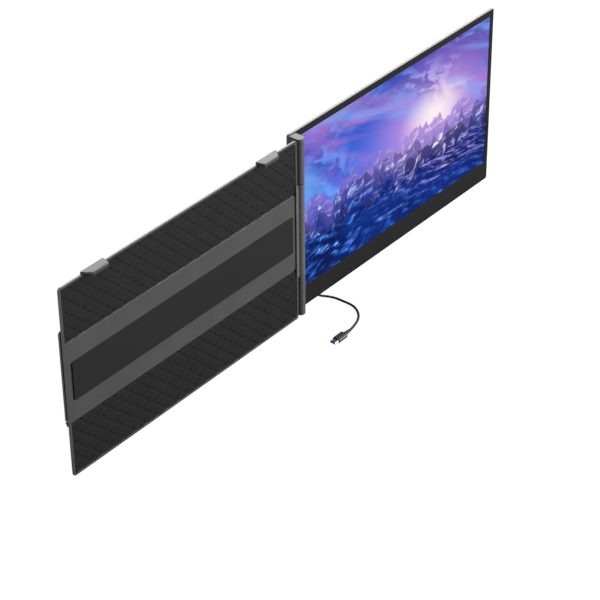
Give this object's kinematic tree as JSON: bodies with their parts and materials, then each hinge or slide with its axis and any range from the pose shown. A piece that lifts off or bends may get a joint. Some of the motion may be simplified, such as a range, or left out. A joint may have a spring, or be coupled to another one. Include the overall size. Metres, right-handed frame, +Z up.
{
  "type": "laptop screen extender",
  "caption": "Back plate that clips onto a laptop's open lid and carries a portable monitor on a vertical friction hinge at its right edge, with a fold-out stand behind.",
  "frame": {"origin": "middle of the front face of the rubber pad that the back of the laptop's lid lies against", "axes": "+X to the user's right, +Y back, away from the user, +Z up along the back plate"},
  "size_m": [0.8047, 0.0971, 0.2611],
  "materials": {
    "frame_metal": "dark grey anodised",
    "cover_plastic": "matt black",
    "grip_texture": "matt black, raised diamonds",
    "soft_rubber": "matt black",
    "hinge_metal": "mid grey anodised",
    "arm_metal": "dark grey anodised",
    "clip_metal": "mid grey satin",
    "steel": "brushed",
    "brass": "plain turned",
    "washer_polymer": "matt black",
    "bezel_plastic": "matt black",
    "chin_plastic": "matt dark grey",
    "display_glass": "smooth, lit picture",
    "backlight": "plain",
    "shell_plastic": "matt black",
    "board": "green board with black parts",
    "cable_jacket": "matt black",
    "plug_grip": "satin dark grey",
    "key_plastic": "matt dark grey"
  },
  "bodies": {
    "frame": {"back_tray": "frame_metal", "rear_cover": "cover_plastic", "lid_pad": "soft_rubber", "upper_grip_panel": "grip_texture", "lower_grip_panel": "grip_texture", "hinge_bracket": "hinge_metal", "hinge_trim_strip": "hinge_metal", "upper_hinge_shaft": "steel", "lower_hinge_shaft": "steel", "friction_washers": "washer_polymer", "leaf_rivets": "steel", "cover_screws": "steel", "stand_rail": "frame_metal", "stand_pin": "steel", "clip_stop_pins": "steel"},
    "stand": {"stand_panel": "frame_metal", "stand_feet": "soft_rubber"},
    "left_clip": {"left_clip_tongue": "steel", "left_clip_hook": "clip_metal", "left_clip_grip": "soft_rubber"},
    "right_clip": {"right_clip_tongue": "steel", "right_clip_hook": "clip_metal", "right_clip_grip": "soft_rubber"},
    "monitor": {"bezel_frame": "bezel_plastic", "chin_strip": "chin_plastic", "display_panel": "display_glass", "backlight_unit": "backlight", "rear_shell": "shell_plastic", "electronics_housing": "shell_plastic", "driver_board": "board", "usb_c_sockets": "steel", "mini_hdmi_socket": "steel", "key_switches": "key_plastic", "shell_screws": "steel", "housing_screws": "steel", "upper_arm": "arm_metal", "lower_arm": "arm_metal", "arm_spine": "arm_metal", "arm_gasket": "soft_rubber", "upper_arm_cap": "hinge_metal", "lower_arm_cap": "hinge_metal", "hinge_bushings": "brass", "cable": "cable_jacket", "cable_relief_monitor": "cable_jacket", "cable_plug_monitor": "plug_grip", "cable_relief_laptop": "cable_jacket", "cable_plug_laptop": "plug_grip", "plug_shells": "steel"},
    "power_key": {"power_key": "key_plastic"},
    "menu_key": {"menu_key": "key_plastic"},
    "select_key": {"select_key": "key_plastic"}
  },
  "joints": [
    {"name": "monitor_hinge", "type": "hinge", "parent": "frame", "child": "monitor", "pos_m": [0.2024, 0.0028, 0], "axis": [0, 0, 1], "range_deg": [-180, 10]},
    {"name": "stand_hinge", "type": "hinge", "parent": "frame", "child": "stand", "pos_m": [0, 0.0064, -0.049], "axis": [-1, 0, 0], "range_deg": [0, 120]},
    {"name": "left_clip_slide", "type": "slide", "parent": "frame", "child": "left_clip", "axis": [0, 0, 1], "range_m": [0, 0.026]},
    {"name": "right_clip_slide", "type": "slide", "parent": "frame", "child": "right_clip", "axis": [0, 0, 1], "range_m": [0, 0.026]},
    {"name": "power_key_press", "type": "slide", "parent": "monitor", "child": "power_key", "axis": [0, 0, 1], "range_m": [0, 0.0006], "stiffness_N_per_m": 2000, "springref_m": -0.0001},
    {"name": "menu_key_press", "type": "slide", "parent": "monitor", "child": "menu_key", "axis": [0, 0, 1], "range_m": [0, 0.0006], "stiffness_N_per_m": 2000, "springref_m": -0.0001},
    {"name": "select_key_press", "type": "slide", "parent": "monitor", "child": "select_key", "axis": [0, 0, 1], "range_m": [0, 0.0006], "stiffness_N_per_m": 2000, "springref_m": -0.0001}
  ]
}
